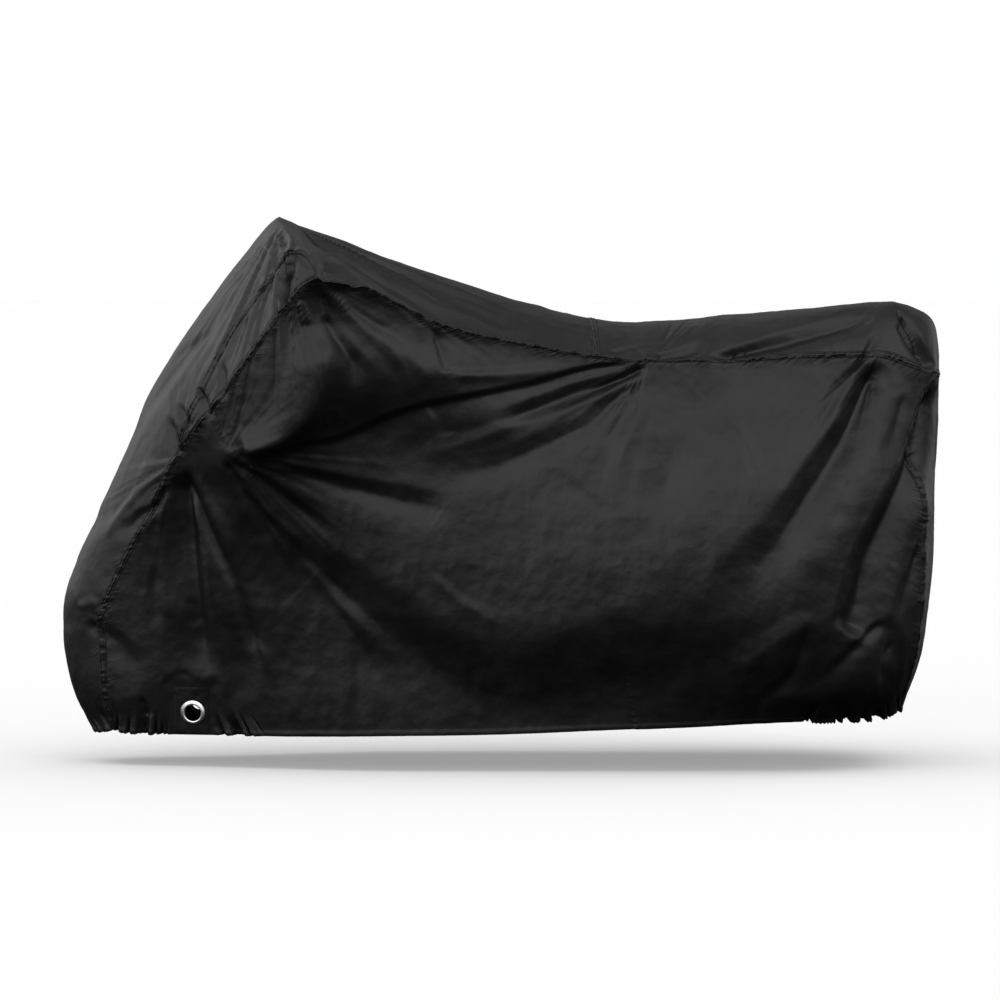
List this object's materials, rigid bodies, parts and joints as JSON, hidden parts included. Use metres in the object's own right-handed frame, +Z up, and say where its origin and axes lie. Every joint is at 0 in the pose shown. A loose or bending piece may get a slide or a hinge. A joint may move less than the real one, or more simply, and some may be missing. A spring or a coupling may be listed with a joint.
{
  "type": "motorcycle cover",
  "caption": "Fitted outdoor cover of thin coated cloth, hollow and open at its elastic hem, with a metal lock eyelet low on each side.",
  "frame": {"origin": "centre of the cover's length and width, at the lowest point of its hem", "axes": "+X from the nose to the tail, +Y to the machine's right-hand side, +Z up"},
  "size_m": [2.08, 0.761, 1.2259],
  "materials": {
    "cloth": "black polyester with a thin soft-sheen waterproof coating",
    "metal": "nickel-plated rolled eyelet, polished"
  },
  "bodies": {
    "root": {"side_left": "cloth", "side_right": "cloth", "gusset_left": "cloth", "gusset_right": "cloth", "front": "cloth", "top_rear": "cloth", "back": "cloth", "eyelet_patch_left": "cloth", "eyelet_patch_right": "cloth", "eyelet_left": "metal", "eyelet_right": "metal"}
  },
  "joints": []
}
